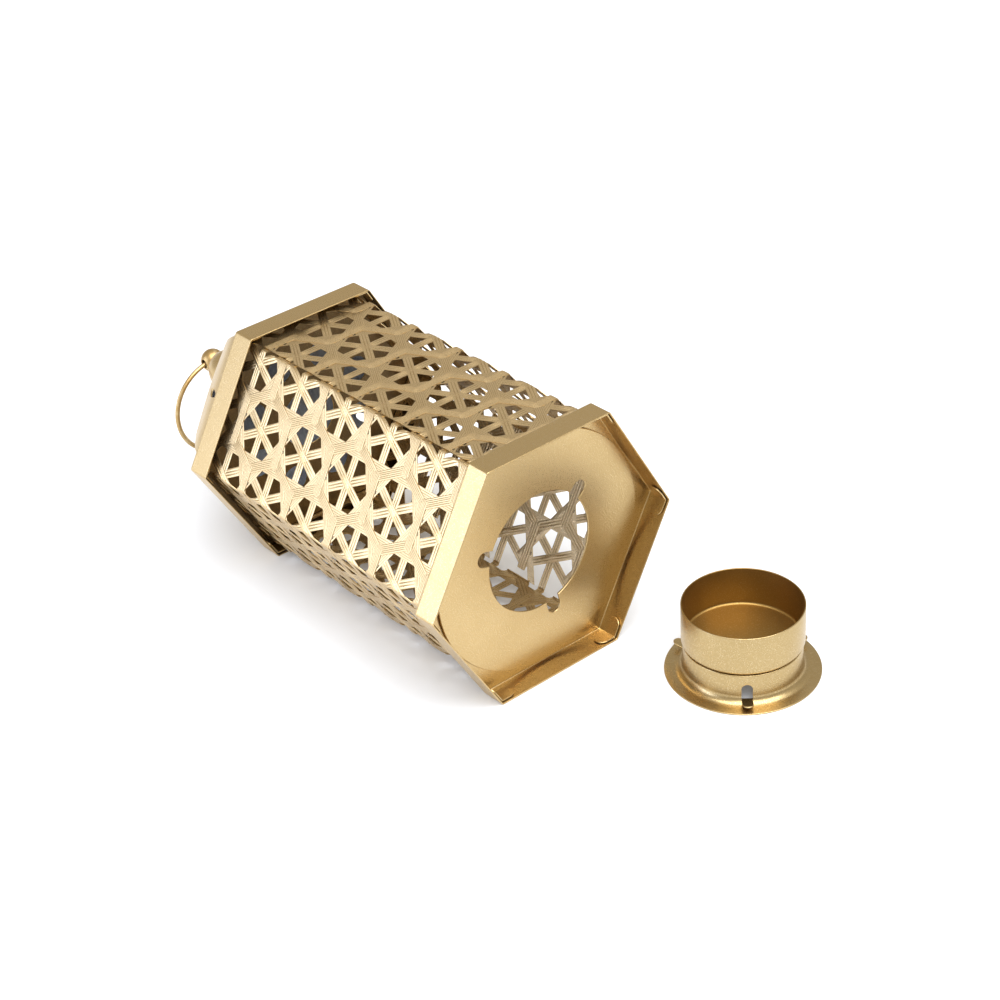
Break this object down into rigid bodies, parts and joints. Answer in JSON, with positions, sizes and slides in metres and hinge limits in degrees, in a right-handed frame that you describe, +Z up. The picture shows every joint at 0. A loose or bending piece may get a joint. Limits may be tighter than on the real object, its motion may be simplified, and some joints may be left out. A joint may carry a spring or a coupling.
{
  "type": "tea-light lantern",
  "caption": "Six-sided sheet-metal tea-light lantern with cane-pattern openwork sides, domed roof and hanging ring, lying on one flat beside its bayonet candle cup.",
  "frame": {"origin": "middle of the flat of the base tray's skirt that the lantern lies on", "axes": "+Z up, +X along the lantern's axis from its roof to its base, +Y across"},
  "size_m": [0.2695, 0.1238, 0.0905],
  "materials": {
    "gold_sheet": "satin champagne gold spray with a fine grain",
    "gold_fittings": "satin gold",
    "bare_steel": "bare"
  },
  "bodies": {
    "lantern": {"base_tray": "gold_sheet", "bayonet_disc": "gold_sheet", "base_corner_strap_1": "gold_sheet", "base_corner_strap_2": "gold_sheet", "base_corner_strap_3": "gold_sheet", "base_corner_strap_4": "gold_sheet", "base_corner_strap_5": "gold_sheet", "base_corner_strap_6": "gold_sheet", "lattice_panel_1": "gold_sheet", "lattice_panel_2": "gold_sheet", "lattice_panel_3": "gold_sheet", "lattice_panel_4": "gold_sheet", "lattice_panel_5": "gold_sheet", "lattice_panel_6": "gold_sheet", "top_tray": "gold_sheet", "top_corner_strap_1": "gold_sheet", "top_corner_strap_2": "gold_sheet", "top_corner_strap_3": "gold_sheet", "top_corner_strap_4": "gold_sheet", "top_corner_strap_5": "gold_sheet", "top_corner_strap_6": "gold_sheet", "roof": "gold_sheet", "bell_cap": "gold_sheet", "finial_ball": "gold_fittings", "finial_washer": "bare_steel", "finial_nut": "bare_steel"},
    "ring": {"hanging_ring": "gold_fittings"},
    "cup": {"candle_pan": "gold_sheet", "bayonet_collar": "gold_sheet"}
  },
  "joints": [
    {"name": "ring_swing", "type": "hinge", "parent": "lantern", "child": "ring", "pos_m": [-0.19242, 0, 0.04525], "axis": [0, 1, 0], "range_deg": [-50, 230]},
    {"name": "cup_twist", "type": "hinge", "parent": "lantern", "child": "cup", "pos_m": [0.04605, 0.04503, 0], "axis": [0, 0, 1], "range_deg": [0, 30]}
  ]
}
